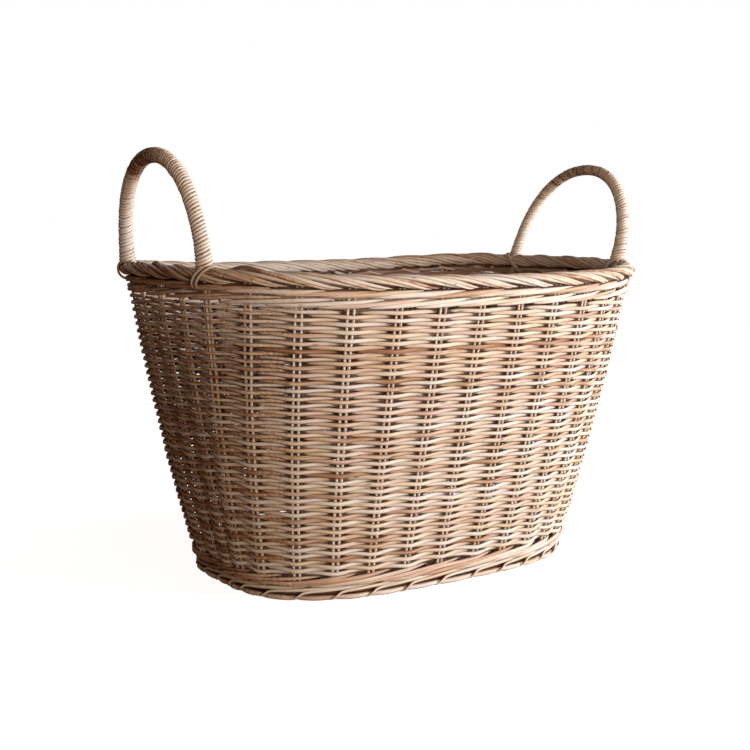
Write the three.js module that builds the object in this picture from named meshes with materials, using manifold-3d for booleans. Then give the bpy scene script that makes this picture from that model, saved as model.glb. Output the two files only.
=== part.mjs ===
// Oval wicker laundry basket with two bound bow handles. Millimetres, +Z up.
// X runs along the basket and Y across it. The origin is on the floor, below the middle of the
// overall length, so the basket itself stands a little to one side of it: one bow leans out further.
// Pairs of upright stakes stand on a foot ring and end under a rolled border. Weavers pass in front
// of one pair and behind the next. Each band of the side weave stands for four single weavers, and
// each turn of a bow's binding for four turns of cane.
import * as THREE from 'three';
import { mergeVertices } from 'three/addons/utils/BufferGeometryUtils.js';
import Module from 'manifold-3d';

const wasm = await Module();
wasm.setup();

// Overall sizes, to the outer edges
const rimLength = 560;
const rimWidth = 396;
const footLength = 413;
const footWidth = 270;
const bodyHeight = 323;
const rimRise = 4; // the rim is this much higher at the handles, and lower at the long sides
const outlinePower = 3; // 2 is an ellipse, and more is squarer
const flareBulge = 0.3; // how far the flaring wall bows outwards

// Clearances
const fit = 0.35; // between pieces that touch
const bandGap = 0.5; // between one round of weave and the next

// Stakes and side weave
const stakePairs = 34;
const stakeRadius = 1.25;
const stakeGap = 3.2; // between the two stakes of a pair
const bandCount = 18;
const bandThickness = 2.4;
const waleThickness = 3.2;
const upsetHeight = 14;
const waleHeight = 7;
const waleRounds = 2;
const layRodHeight = 2.4; // the stakes' turned-down tips, which run on below the border

// Rolled border
const borderHalfWidth = 10;
const borderHalfHeight = 8;
const borderLobes = 3; // bundles of rods side by side in the roll
const lobeDepth = 0.2; // share of the roll's size that the grooves between bundles take

// Foot ring
const footHeight = 12;
const footOutward = 6.5; // from the middle of the wall
const footInward = 11;
const footOuterEdge = 3.5; // bevel of the outer lower edge
const footInnerEdge = 2.5;

// Base panel
const baseSpokes = 18;
const baseStickRadius = 2;
const baseRounds = 6;
const baseRoundThickness = 2;
const baseMiddleHeight = 7;
const spineLength = 160;
const spineSpacing = 6;
const spineRods = 3;
const baseStart = 0.2; // share of a spoke's length that the spine's binding leaves bare

// Bow handles
const bowHeight = 104;
const bowPower = 2.14;
const bowCoreRadius = 4.6;
const bowTailRadius = 1.8;
const bowTailLength = 78;
const bowStakeStep = 2; // stake pairs from the middle of an end to a bow's foot
const leftBowLean = 5.5; // degrees outwards
const rightBowLean = 17;
const bindingTurns = 24;
const bindingThickness = 1.9;
const bindingBevel = 2.5;
const bindingGap = 0.8;
const bindingStart = 4.5; // above the border
const lashingHalfWidth = 2.2;
const lashingThickness = 2;
const lashingGap = 0.8;
const lashingTilt = 8;

const turnAround = 2 * Math.PI;

// The wall: half sizes of its middle surface, from the foot to the rim
const footHalfLength = footLength / 2 - footOutward;
const footHalfWidth = footWidth / 2 - footOutward;
const rimHalfLength = rimLength / 2 - borderHalfWidth;
const rimHalfWidth = rimWidth / 2 - borderHalfWidth;

// Levels, measured where the rim neither rises nor dips
const borderMiddle = bodyHeight - borderHalfHeight;
const borderUnderside = borderMiddle - borderHalfHeight;
const layRodBottom = borderUnderside - fit - layRodHeight;
const waleTop = layRodBottom - lashingThickness - 2 * lashingGap;
const upsetBottom = footHeight + bandGap;
const weaveBottom = upsetBottom + upsetHeight + bandGap;
const weaveTop = waleTop - waleRounds * (waleHeight + bandGap);

function signedPower(value, power) {
  return Math.sign(value) * Math.abs(value) ** power;
}

// Half the wall's length and width at a height
function wallHalves(height) {
  const share = height / bodyHeight;
  const flare = share + flareBulge * share * (1 - share);
  return [
    THREE.MathUtils.lerp(footHalfLength, rimHalfLength, flare),
    THREE.MathUtils.lerp(footHalfWidth, rimHalfWidth, flare),
  ];
}

function wallNormal(height, angle) {
  const [halfLength, halfWidth] = wallHalves(height);
  const power = 2 - 2 / outlinePower;
  const x = signedPower(Math.cos(angle), power) / halfLength;
  const y = signedPower(Math.sin(angle), power) / halfWidth;
  return new THREE.Vector3(x, y, 0).normalize();
}

// Where the wall is at a height and an angle, moved outwards and upwards
function wallPoint(height, angle, outward = 0, up = 0) {
  const [halfLength, halfWidth] = wallHalves(height);
  const x = signedPower(Math.cos(angle), 2 / outlinePower) * halfLength;
  const y = signedPower(Math.sin(angle), 2 / outlinePower) * halfWidth;
  const rise = (rimRise * Math.cos(2 * angle) * height) / bodyHeight;
  return new THREE.Vector3(x, y, height + rise + up)
    .addScaledVector(wallNormal(height, angle), outward);
}

// Angles that divide the wall's length at mid height into equal steps
function evenAngles(count) {
  const samples = 3600;
  const lengths = [0];
  for (let i = 1; i <= samples; i++) {
    const from = wallPoint(bodyHeight / 2, ((i - 1) / samples) * turnAround);
    const to = wallPoint(bodyHeight / 2, (i / samples) * turnAround);
    lengths.push(lengths[i - 1] + from.distanceTo(to));
  }
  const angles = [];
  let i = 0;
  for (let k = 0; k < count; k++) {
    const wanted = (k / count) * lengths[samples];
    while (lengths[i + 1] < wanted) i++;
    const part = (wanted - lengths[i]) / (lengths[i + 1] - lengths[i]);
    angles.push(((i + part) / samples) * turnAround);
  }
  return angles;
}

// Stake pairs are numbered round the basket from the middle of the right end
const stakeAngles = evenAngles(stakePairs);
const halfRound = Math.floor(stakePairs / 2);
const bowPairs = {
  rightBack: bowStakeStep,
  leftBack: halfRound - bowStakeStep,
  leftFront: halfRound + bowStakeStep,
  rightFront: stakePairs - bowStakeStep,
};

function pairAngle(k) {
  return stakeAngles[(k + stakePairs) % stakePairs];
}

// From the middle of a pair to each of its stakes. A bow's tail goes down between the two.
function stakeStep(k) {
  const holdsTail = Object.values(bowPairs).includes(k);
  return stakeRadius + (holdsTail ? bowTailRadius + fit : stakeGap / 2);
}

// A place beside the middle of pair k, on the straight line to the next pair or the last one
function besidePair(height, k, along) {
  const here = wallPoint(height, pairAngle(k));
  const there = wallPoint(height, pairAngle(along < 0 ? k - 1 : k + 1));
  return here.lerp(there, Math.abs(along) / here.distanceTo(there));
}

// Meshes: rings of points joined into one closed body
function bodyFrom(points, triangles) {
  const volume = triangles.reduce((sum, [a, b, c]) => {
    const across = new THREE.Vector3().crossVectors(points[b], points[c]);
    return sum + points[a].dot(across);
  }, 0);
  const faces = volume < 0 ? triangles.map(([a, b, c]) => [a, c, b]) : triangles;
  const places = points.flatMap((point) => point.toArray());
  const geometry = new THREE.BufferGeometry();
  geometry.setAttribute('position', new THREE.Float32BufferAttribute(places, 3));
  geometry.setIndex(faces.flat());
  return geometry;
}

function joinRings(from, to, size, shift = 0) {
  const triangles = [];
  for (let i = 0; i < size; i++) {
    const next = (i + 1) % size;
    const a = to + ((i + shift) % size);
    const b = to + ((next + shift) % size);
    triangles.push([from + i, from + next, b], [from + i, b, a]);
  }
  return triangles;
}

// An endless body, such as a woven round: the last ring joins the first
function endless(rings, shift = 0) {
  const size = rings[0].length;
  const triangles = rings.flatMap((_, i) => {
    const last = i === rings.length - 1;
    return joinRings(i * size, last ? 0 : (i + 1) * size, size, last ? shift : 0);
  });
  return bodyFrom(rings.flat(), triangles);
}

// A body with two flat ends
function withEnds(rings) {
  const size = rings[0].length;
  const last = (rings.length - 1) * size;
  const triangles = [];
  for (let i = 1; i < rings.length; i++) {
    triangles.push(...joinRings((i - 1) * size, i * size, size));
  }
  for (let i = 1; i < size - 1; i++) {
    triangles.push([0, i + 1, i], [last, last + i, last + i + 1]);
  }
  return bodyFrom(rings.flat(), triangles);
}

// A round rod along a curve
function rod(curve, radius, sides, steps) {
  const corners = [];
  for (let i = 0; i < sides; i++) {
    const angle = (i / sides) * turnAround;
    corners.push(new THREE.Vector2(Math.cos(angle) * radius, Math.sin(angle) * radius));
  }
  return new THREE.ExtrudeGeometry(new THREE.Shape(corners), {
    steps,
    extrudePath: curve,
    bevelEnabled: false,
    curveSegments: 1,
  });
}

// Joins and cuts
function solidOf(geometry) {
  const bare = geometry.clone();
  bare.deleteAttribute('normal');
  bare.deleteAttribute('uv');
  const merged = mergeVertices(bare);
  return new wasm.Manifold(
    new wasm.Mesh({
      numProp: 3,
      vertProperties: Float32Array.from(merged.getAttribute('position').array),
      triVerts: Uint32Array.from(merged.index.array),
    }),
  );
}

function geometryOf(solid) {
  const mesh = solid.getMesh();
  const geometry = new THREE.BufferGeometry();
  geometry.setAttribute('position', new THREE.BufferAttribute(mesh.vertProperties, 3));
  geometry.setIndex(new THREE.BufferAttribute(mesh.triVerts, 1));
  return geometry;
}

function joined(geometries) {
  const [first, ...others] = geometries.map(solidOf);
  return others.reduce((whole, other) => whole.add(other), first);
}

// How far a weaver passes from the middle of the wall, to clear the pair that it slants past
function weaverOffset(height, k, thickness) {
  const spacing = wallPoint(height, pairAngle(k)).distanceTo(wallPoint(height, pairAngle(k + 1)));
  const room = stakeRadius + fit + thickness / 2;
  const slant = 1 - (2 * (stakeStep(k) + stakeRadius)) / spacing;
  return Math.max(room / slant, bowTailRadius + fit + thickness / 2);
}

// One round of the side, in front of every other pair
function weaveRound(bottom, top, phase, thickness) {
  const rings = stakeAngles.map((angle, k) => {
    const side = (k + phase) % 2 ? 1 : -1;
    const middle = side * weaverOffset(bottom, k, thickness);
    const inner = middle - thickness / 2;
    const outer = middle + thickness / 2;
    return [
      wallPoint(bottom, angle, inner),
      wallPoint(bottom, angle, outer),
      wallPoint(top, angle, outer),
      wallPoint(top, angle, inner),
    ];
  });
  return endless(rings);
}

const stakeSides = 4;
const stakeSteps = 3;

function stake(k, side) {
  const bottom = footHeight + 2 * fit;
  const top = layRodBottom + layRodHeight / 2;
  const points = [];
  for (let i = 0; i <= stakeSteps; i++) {
    const height = THREE.MathUtils.lerp(bottom, top, i / stakeSteps);
    points.push(besidePair(height, k, side * stakeStep(k)));
  }
  return rod(new THREE.CatmullRomCurve3(points), stakeRadius, stakeSides, stakeSteps);
}

// The stakes' tips, laid over along the wall from the first stake to the last
function layRod(first, last) {
  const rings = [];
  for (let k = first; k <= last; k++) {
    let place = wallPoint(layRodBottom, pairAngle(k));
    if (k === first) place = besidePair(layRodBottom, k, stakeStep(k));
    if (k === last) place = besidePair(layRodBottom, k, -stakeStep(k % stakePairs));
    const normal = wallNormal(layRodBottom, pairAngle(k));
    rings.push(
      [[-1, 0], [1, 0], [1, 1], [-1, 1]].map(([side, level]) =>
        place
          .clone()
          .addScaledVector(normal, side * stakeRadius)
          .add(new THREE.Vector3(0, 0, level * layRodHeight)),
      ),
    );
  }
  return withEnds(rings);
}

// The stakes from one bow's foot to the next, with their tips
function stakeSet(first, last) {
  const pieces = [layRod(first, last)];
  for (let k = first; k <= last; k++) {
    const pair = k % stakePairs;
    if (k > first) pieces.push(stake(pair, -1));
    if (k < last) pieces.push(stake(pair, 1));
  }
  return geometryOf(joined(pieces));
}

// Foot ring
function footRing() {
  const section = [
    [footInnerEdge - footInward, 0],
    [footOutward - footOuterEdge, 0],
    [footOutward, footOuterEdge],
    [footOutward, footHeight],
    [-footInward, footHeight],
    [-footInward, footInnerEdge],
  ];
  return endless(
    evenAngles(4 * baseSpokes).map((angle) =>
      section.map(([outward, up]) => wallPoint(0, angle, outward, up)),
    ),
  );
}

// Base panel: spokes from a spine of long sticks to the foot ring, woven over and under
const stickSides = 6;
const spokeAngles = evenAngles(2 * baseSpokes);

function spokePoint(v, share) {
  const angle = spokeAngles[v % spokeAngles.length];
  const half = spineLength / 2;
  const seat = wallPoint(0, angle, -footInward - fit, baseMiddleHeight);
  const start = new THREE.Vector3(THREE.MathUtils.clamp(seat.x / 2, -half, half), 0, seat.z);
  const normal = wallNormal(0, angle);
  const skew = start.clone().sub(seat).normalize().cross(normal).length();
  const end = seat.addScaledVector(normal, -baseStickRadius * skew);
  return start.lerp(end, share);
}

function baseSticks() {
  const pieces = [];
  for (let i = 0; i < spineRods; i++) {
    const y = (i - (spineRods - 1) / 2) * spineSpacing;
    const half = spineLength / 2 + baseStickRadius;
    const from = new THREE.Vector3(-half, y, baseMiddleHeight);
    const to = new THREE.Vector3(half, y, baseMiddleHeight);
    pieces.push(rod(new THREE.LineCurve3(from, to), baseStickRadius, stickSides, 1));
  }
  for (let v = 0; v < spokeAngles.length; v += 2) {
    const line = new THREE.LineCurve3(spokePoint(v, 0), spokePoint(v, 1));
    pieces.push(rod(line, baseStickRadius, stickSides, 1));
  }
  return geometryOf(joined(pieces));
}

function baseRound(number) {
  const count = spokeAngles.length;
  const step = (1 - baseStart) / baseRounds;
  const from = baseStart + number * step;
  const rings = spokeAngles.map((_, v) => {
    const gap = bandGap / spokePoint(v, 0).distanceTo(spokePoint(v, 1));
    const inner = spokePoint(v, from);
    const outer = spokePoint(v, from + step - gap);
    const spacing = Math.min(
      inner.distanceTo(spokePoint(v + 2, from)),
      inner.distanceTo(spokePoint(v + count - 2, from)),
    );
    const room = baseStickRadius + fit + baseRoundThickness / 2;
    const side = (v / 2 + number) % 2 ? 1 : -1;
    const lift = v % 2 ? 0 : (side * room) / (1 - (2 * baseStickRadius) / spacing);
    return [[inner, -1], [outer, -1], [outer, 1], [inner, 1]].map(([place, face]) =>
      place.clone().add(new THREE.Vector3(0, 0, lift + (face * baseRoundThickness) / 2)),
    );
  });
  return endless(rings);
}

// Rolled border: a roll of lobes that turns on by one lobe at each stake pair
const rollSteps = 3;

function borderRoll() {
  const corners = 2 * borderLobes;
  const twist = turnAround / borderLobes / rollSteps;
  const angles = evenAngles(rollSteps * stakePairs);
  const rings = angles.map((angle, step) => {
    const ring = [];
    for (let i = 0; i < corners; i++) {
      const turn = (i / corners) * turnAround - twist * step;
      const reach = i % 2 ? 1 - lobeDepth : 1;
      const outward = Math.cos(turn) * reach * borderHalfWidth;
      ring.push(wallPoint(borderMiddle, angle, outward, Math.sin(turn) * reach * borderHalfHeight));
    }
    return ring;
  });
  const lobesPassed = stakePairs % borderLobes;
  return endless(rings, 2 * lobesPassed);
}

// Bow handles. A bow stands over one end, and its feet go down through the border.
class Bow extends THREE.Curve {
  constructor(end, lean) {
    super();
    this.end = end;
    this.lean = Math.tan(THREE.MathUtils.degToRad(lean));
    this.foot = wallPoint(bodyHeight, pairAngle(bowStakeStep));
  }

  getPoint(t, target = new THREE.Vector3()) {
    const c = Math.cos(t * Math.PI);
    const s = Math.sin(t * Math.PI);
    const reach = (Math.abs(c) ** bowPower + Math.abs(s) ** bowPower) ** (-1 / bowPower);
    const up = bowHeight * reach * s;
    const x = this.end * (this.foot.x + up * this.lean);
    return target.set(x, this.foot.y * reach * c, this.foot.z + up);
  }

  // A place on the wall below a foot. Side is 1 at the back and -1 at the front.
  below(height, side) {
    const place = wallPoint(height, pairAngle(bowStakeStep));
    return new THREE.Vector3(this.end * place.x, side * place.y, place.z);
  }
}

const bowSides = 6;
const bowSteps = 24;

// The arch with its two legs, as one line
function bowLine(bow) {
  const points = [bow.below(borderUnderside, 1), bow.below(borderMiddle, 1)];
  for (let i = 0; i <= bowSteps / 2; i++) points.push(bow.getPointAt((2 * i) / bowSteps));
  points.push(bow.below(borderMiddle, -1), bow.below(borderUnderside, -1));
  return new THREE.CatmullRomCurve3(points, false, 'centripetal');
}

const tailSteps = 2;

function bowCore(bow) {
  const tailEnd = borderUnderside - bowTailLength;
  const tails = [1, -1].map((side) => {
    const points = [];
    for (let i = 0; i <= tailSteps; i++) {
      const height = THREE.MathUtils.lerp(borderMiddle, tailEnd, i / tailSteps);
      points.push(bow.below(height, side));
    }
    return rod(new THREE.CatmullRomCurve3(points), bowTailRadius, bowSides, tailSteps);
  });
  return geometryOf(joined([rod(bowLine(bow), bowCoreRadius, bowSides, bowSteps), ...tails]));
}

// What the border leaves open for a bow
function bowWay(bow) {
  const ends = [1, -1].map((side) => {
    const low = bow.below(borderUnderside - borderHalfHeight, side);
    const line = new THREE.LineCurve3(low, bow.below(borderMiddle, side));
    return rod(line, bowCoreRadius + fit, bowSides, 1);
  });
  return joined([rod(bowLine(bow), bowCoreRadius + fit, bowSides, bowSteps), ...ends]);
}

// One strip wound round a bow, from foot to foot
const bindingSteps = 8;

function bindingRings(bow) {
  const length = bow.getLength();
  const pitch = (length - 2 * bindingStart + bindingGap) / (bindingTurns + 1);
  const halfStrip = (pitch - bindingGap) / 2;
  const under = (bowCoreRadius + fit) / Math.cos(Math.PI / bindingSteps);
  const crown = under + bindingThickness;
  const section = [
    [-halfStrip, under],
    [-halfStrip + bindingBevel, crown],
    [halfStrip - bindingBevel, crown],
    [halfStrip, under],
  ];
  const across = bow.getPointAt(1).sub(bow.getPointAt(0)).normalize();
  const rise = bow.getPointAt(0.5).sub(bow.getPointAt(0).lerp(bow.getPointAt(1), 0.5)).normalize();
  const flat = new THREE.Vector3().crossVectors(across, rise).normalize();
  const ringAt = (i) =>
    section.map(([shift, radius]) => {
      const u = (bindingStart + halfStrip + (pitch * i) / bindingSteps + shift) / length;
      const level = THREE.MathUtils.clamp(u, 0, 1);
      const side = new THREE.Vector3().crossVectors(bow.getTangentAt(level), flat).normalize();
      const turn = (i / bindingSteps) * turnAround;
      return bow
        .getPointAt(level)
        .addScaledVector(side, Math.cos(turn) * radius)
        .addScaledVector(flat, Math.sin(turn) * radius);
    });
  const rings = [];
  for (let i = 0; i <= bindingTurns * bindingSteps; i++) rings.push(ringAt(i));

  // Each end runs on straight for the strip's own thickness
  const straightOn = (ring, last) => {
    const way = ring[1].clone().sub(last[1]).normalize();
    return ring.map((point) => point.clone().addScaledVector(way, bindingThickness));
  };
  rings.unshift(straightOn(rings[0], rings[1]));
  rings.push(straightOn(rings.at(-1), rings.at(-2)));
  return rings;
}

// The least distance between a strip's own turns
function leastGap(rings) {
  let least = Infinity;
  rings.forEach((ring, i) => {
    for (const other of rings.slice(i + bindingSteps - 1, i + bindingSteps + 2)) {
      for (const a of ring) for (const b of other) least = Math.min(least, a.distanceTo(b));
    }
  });
  return least;
}

// Two strands laid round the border at a bow's foot. They pass on one side of the leg above and on
// the other side below.
function lashing(k, way) {
  const steps = 14;
  const halfThickness = lashingThickness / 2;
  const halfHeight = (bodyHeight - layRodBottom) / 2;
  const middle = layRodBottom + halfHeight;
  const normal = wallNormal(middle, pairAngle(k));
  const placeAt = (turn, outset) => {
    const place = besidePair(middle, k, way * lashingTilt * Math.sin(turn));
    const outward = Math.cos(turn) * (borderHalfWidth + lashingGap + halfThickness + outset);
    place.z += Math.sin(turn) * (halfHeight + lashingGap + halfThickness + outset);
    return place.addScaledVector(normal, outward);
  };
  const section = [[-1, 0], [-0.5, 1], [0.5, 1], [1, 0], [0.5, -1], [-0.5, -1]];
  const rings = [];
  for (let i = 0; i < steps; i++) {
    const turn = (i / steps) * turnAround;
    const place = placeAt(turn, 0);
    const outwards = placeAt(turn, 1).sub(place).normalize();
    const ahead = placeAt(turn + 0.1, 0).sub(placeAt(turn - 0.1, 0)).normalize();
    const side = new THREE.Vector3().crossVectors(ahead, outwards).normalize();
    rings.push(
      section.map(([across, out]) =>
        place
          .clone()
          .addScaledVector(side, across * lashingHalfWidth)
          .addScaledVector(outwards, out * halfThickness),
      ),
    );
  }
  return endless(rings);
}

// The basket
const cane = { color: 0xd0a679, roughness: 0.6, metalness: 0 };
const paleCane = { color: 0xdcbb93, roughness: 0.58, metalness: 0 };
const redCane = { color: 0xa8714a, roughness: 0.64, metalness: 0 };
const basket = new THREE.Group();

function add(name, geometry, look) {
  const mesh = new THREE.Mesh(geometry, new THREE.MeshStandardMaterial(look));
  mesh.name = name;
  basket.add(mesh);
}

add('foot_ring', footRing(), cane);
add('base_sticks', baseSticks(), paleCane);
for (let i = 0; i < baseRounds; i++) add(`base_round_${i + 1}`, baseRound(i), cane);

add('upset_wale', weaveRound(upsetBottom, upsetBottom + upsetHeight, 0, waleThickness), redCane);
const bandPitch = (weaveTop - weaveBottom + bandGap) / bandCount;
for (let i = 0; i < bandCount; i++) {
  const bottom = weaveBottom + i * bandPitch;
  const name = `side_weave_${String(i + 1).padStart(2, '0')}`;
  add(name, weaveRound(bottom, bottom + bandPitch - bandGap, i + 1, bandThickness), cane);
}
for (let i = 0; i < waleRounds; i++) {
  const bottom = weaveTop + bandGap + i * (waleHeight + bandGap);
  const phase = i + bandCount + 1;
  add(`top_wale_${i + 1}`, weaveRound(bottom, bottom + waleHeight, phase, waleThickness), redCane);
}

add('back_stakes', stakeSet(bowPairs.rightBack, bowPairs.leftBack), paleCane);
add('left_end_stakes', stakeSet(bowPairs.leftBack, bowPairs.leftFront), paleCane);
add('front_stakes', stakeSet(bowPairs.leftFront, bowPairs.rightFront), paleCane);
add('right_end_stakes', stakeSet(bowPairs.rightFront, bowPairs.rightBack + stakePairs), paleCane);

const bows = { right: new Bow(1, rightBowLean), left: new Bow(-1, leftBowLean) };
const openBorder = Object.values(bows).reduce(
  (border, bow) => border.subtract(bowWay(bow)),
  solidOf(borderRoll()),
);
add('rolled_border', geometryOf(openBorder), cane);
for (const [name, bow] of Object.entries(bows)) {
  const rings = bindingRings(bow);
  console.log(`${name} handle binding: least gap to itself ${leastGap(rings).toFixed(2)} mm`);
  add(`${name}_handle_core`, bowCore(bow), paleCane);
  add(`${name}_handle_binding`, withEnds(rings), cane);
  for (const [place, way] of [['Back', -1], ['Front', 1]]) {
    const label = `${name}_${place.toLowerCase()}_lashing`;
    add(label, lashing(bowPairs[name + place], -way * bow.end), cane);
  }
}

// The origin is below the middle of the overall length
const outside = new THREE.Box3().setFromObject(basket);
basket.position.x = -(outside.min.x + outside.max.x) / 2;

export default basket;
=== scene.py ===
import math

import bpy
import numpy as np
from mathutils import Matrix, Vector


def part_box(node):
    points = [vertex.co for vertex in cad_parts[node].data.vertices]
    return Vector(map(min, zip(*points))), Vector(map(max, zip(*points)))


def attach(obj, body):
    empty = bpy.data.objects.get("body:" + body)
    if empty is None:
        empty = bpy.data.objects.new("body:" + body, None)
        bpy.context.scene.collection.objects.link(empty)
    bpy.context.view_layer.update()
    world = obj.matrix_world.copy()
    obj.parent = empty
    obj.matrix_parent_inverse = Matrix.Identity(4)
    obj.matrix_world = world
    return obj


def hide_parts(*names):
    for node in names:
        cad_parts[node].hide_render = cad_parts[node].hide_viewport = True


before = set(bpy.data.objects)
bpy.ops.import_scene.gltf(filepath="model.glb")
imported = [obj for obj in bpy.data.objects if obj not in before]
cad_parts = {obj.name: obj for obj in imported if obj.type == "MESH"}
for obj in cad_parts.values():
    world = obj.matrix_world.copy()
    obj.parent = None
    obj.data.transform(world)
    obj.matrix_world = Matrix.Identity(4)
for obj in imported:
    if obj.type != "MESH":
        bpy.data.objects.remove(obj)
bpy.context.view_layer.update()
bpy.ops.object.select_all(action="DESELECT")
print("basket: frame loaded")

fullTurn = 2 * math.pi
seeded = np.random.default_rng
upward = np.array([0.0, 0.0, 1.0])

# The basket's own shape, which every piece follows. All lengths are in metres.
basket = {
    "footHalfLength": 0.2000,
    "footHalfWidth": 0.1285,
    "rimHalfLength": 0.2700,
    "rimHalfWidth": 0.1880,
    "height": 0.323,
    "rimRise": 0.004,  # the rim is higher at the handles than at the long sides
    "liftFade": 8,  # how fast the rim's unevenness dies out below it
    "squareness": 3.0,  # 2 is an ellipse
    "bulge": 0.30,
    "pairs": 34,  # stake pairs, numbered from the middle of the right end
}
bowPairs = {"right_back": 2, "left_back": 15, "left_front": 19, "right_front": 32}
pairs = basket["pairs"]
ringLow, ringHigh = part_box("foot_ring")
middleX = (ringLow.x + ringHigh.x) / 2


def signedPower(value, power):
    return np.sign(value) * np.abs(value) ** power


def eased(value):
    value = np.clip(value, 0, 1)
    return value * value * (3 - 2 * value)


# 1 at the middle of a hump, 0 at its foot and beyond
def hump(distance, width):
    return (1 + np.cos(math.pi * np.clip(np.abs(distance) / width, 0, 1))) / 2


# 1 at both ends of a row of places, 0 from some pairs inwards
def nearEnds(place, reach):
    return np.clip(1 - np.minimum(place - place[0], place[-1] - place) / reach, 0, 1)


def lengthsOf(line):
    return np.concatenate([[0], np.cumsum(np.linalg.norm(np.diff(line, axis=0), axis=1))])


def unit(vectors):
    return vectors / np.linalg.norm(vectors, axis=1)[:, None]


# The way out of a roll at each turn round it
def turned(facing, turn):
    return facing * np.cos(turn)[:, None] + upward * np.sin(turn)[:, None]


def wallHalves(height):
    share = height / basket["height"]
    flare = share + basket["bulge"] * share * (1 - share)
    return [
        basket[f"foot{half}"] + (basket[f"rim{half}"] - basket[f"foot{half}"]) * flare
        for half in ("HalfLength", "HalfWidth")
    ]


def wallPoint(angle, height):
    halfLength, halfWidth = wallHalves(height)
    power = 2 / basket["squareness"]
    x = middleX + signedPower(np.cos(angle), power) * halfLength
    y = signedPower(np.sin(angle), power) * halfWidth
    rise = basket["rimRise"] * np.cos(2 * angle) * height / basket["height"]
    return np.stack([x, y, height + rise], axis=-1)


def wallNormal(angle, height):
    halfLength, halfWidth = wallHalves(height)
    power = 2 - 2 / basket["squareness"]
    x = signedPower(np.cos(angle), power) / halfLength
    y = signedPower(np.sin(angle), power) / halfWidth
    size = np.hypot(x, y)
    return np.stack([x / size, y / size, 0 * x], axis=-1)


# Equal steps round the wall at mid height: place 1.5 is midway between pairs 1 and 2
roundAngles = np.linspace(0, fullTurn, 3601)
roundLengths = lengthsOf(wallPoint(roundAngles, basket["height"] / 2))


def angleAt(place):
    share = np.asarray(place, float) / pairs % 1
    return np.interp(share * roundLengths[-1], roundLengths, roundAngles)


# Places on the way from one pair to another
def placesFrom(first, last):
    return np.arange(first * 6, last * 6 + 1) / 6


# A soft line through one value for each pair, which closes on itself
def wander(place, values):
    place = np.asarray(place, float)
    low = np.floor(place).astype(int)
    part = (1 - np.cos((place - low) * math.pi)) / 2
    values, count = np.asarray(values), len(values)
    return values[low % count] * (1 - part) + values[(low + 1) % count] * part


# How far each pair stands to one side of its even place, in pairs, from the middle of an end to
# the middle of the other: at the rim, and how much more at the foot. The hand-set stakes fan out.
stakeLean = {
    "atRim": (0, 0, -0.12, -0.10, -0.06, 0.02, 0.12, 0.20, 0.25, 0.32, 0.37, 0.40, 0.34, 0.22,
              0.10, 0, 0),
    "toFoot": (-0.05, -0.3, -0.55, -0.72, -0.65, -0.65, -0.68, -0.6, -0.45, -0.2, -0.13, -0.12,
               -0.12, -0.1, -0.05, 0, 0),
}

# The hand-laid rim isn't quite level: how far it is lifted at a few pairs
rimLift = np.zeros(pairs)
rimLift[3:7] = (0.0030, 0.0042, 0.0028, 0.0012)
rimLift[9:12] = (-0.0008, -0.0014, -0.0014)
rimLift[20:25] = (0.0018, 0.0010, 0.0010, 0.0013, 0.0010)

# The wall bellies out a little round the right end, most of all just below the border
belly = {
    "most": 0.0046,
    "halfPairs": 2.8,
    "borderShare": 0.5,  # what is left of it in the border
    "borderFrom": 0.302,
    "borderOver": 0.010,
}


# Points on the wall's middle surface and the way outwards there
def onWall(place, height, outward=0.0):
    place, height = (np.asarray(value, float) for value in np.broadcast_arrays(place, height))
    drop = np.clip(1 - height / basket["height"], 0, 1)
    leaning = place + wander(place, stakeLean["atRim"]) + drop * wander(place, stakeLean["toFoot"])
    angle = angleAt(leaning)
    normal = wallNormal(angle, height)
    fromEnd = (place + pairs / 2) % pairs - pairs / 2
    inBorder = eased((height - belly["borderFrom"]) / belly["borderOver"])
    rising = height / basket["height"] * (1 - (1 - belly["borderShare"]) * inBorder)
    out = outward + belly["most"] * np.exp(-(fromEnd / belly["halfPairs"]) ** 2) * rising
    point = wallPoint(angle, height) + normal * np.broadcast_to(out, place.shape)[..., None]
    point[..., 2] += wander(place, rimLift) * (height / basket["height"]) ** basket["liftFade"]
    return point, normal


def pairSpacing(place, height):
    ahead, _ = onWall(place + 0.5, height)
    behind, _ = onWall(place - 0.5, height)
    return np.linalg.norm(ahead - behind, axis=-1)


caneShape = {
    "squareness": 0.74,  # 1 is round
    "edgeShadeAndDirt": 0.95,  # painted shade, with some dirt, in the furrows between canes
    "edgePower": 4,
    "deepFrom": 0.12,  # where a cane that slips behind a stake takes painted shade, from its edges in
    "deepWidth": 0.4,
    "recessShade": 0.16,  # and the faint painted shade that it takes all over before that
    "shadeFrom": 0.6,
    "shadeWidth": 0.9,
}


# A closed strand from its rings of points
def strandOf(points, fibre, crevice, tone, mirrored=False):
    count, sides = points.shape[:2]
    ring, corner = np.arange(count - 1)[:, None] * sides, np.arange(sides)
    corners = [ring + corner, ring + (corner + 1) % sides]
    corners += [corners[1] + sides, corners[0] + sides]
    quads = np.stack(corners, axis=-1).reshape(-1, 4)
    last = (count - 1) * sides
    ends = [list(range(sides - 1, -1, -1)), [last + i for i in range(sides)]]
    if mirrored:
        quads, ends = quads[:, [0, 3, 2, 1]], [end[::-1] for end in ends]
    return {"points": points.reshape(-1, 3), "quads": quads, "ends": ends,
            "fibre": fibre.reshape(-1, 3), "crevice": crevice.ravel(),
            "tone": np.broadcast_to(tone, (count, sides)).ravel()}


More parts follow.
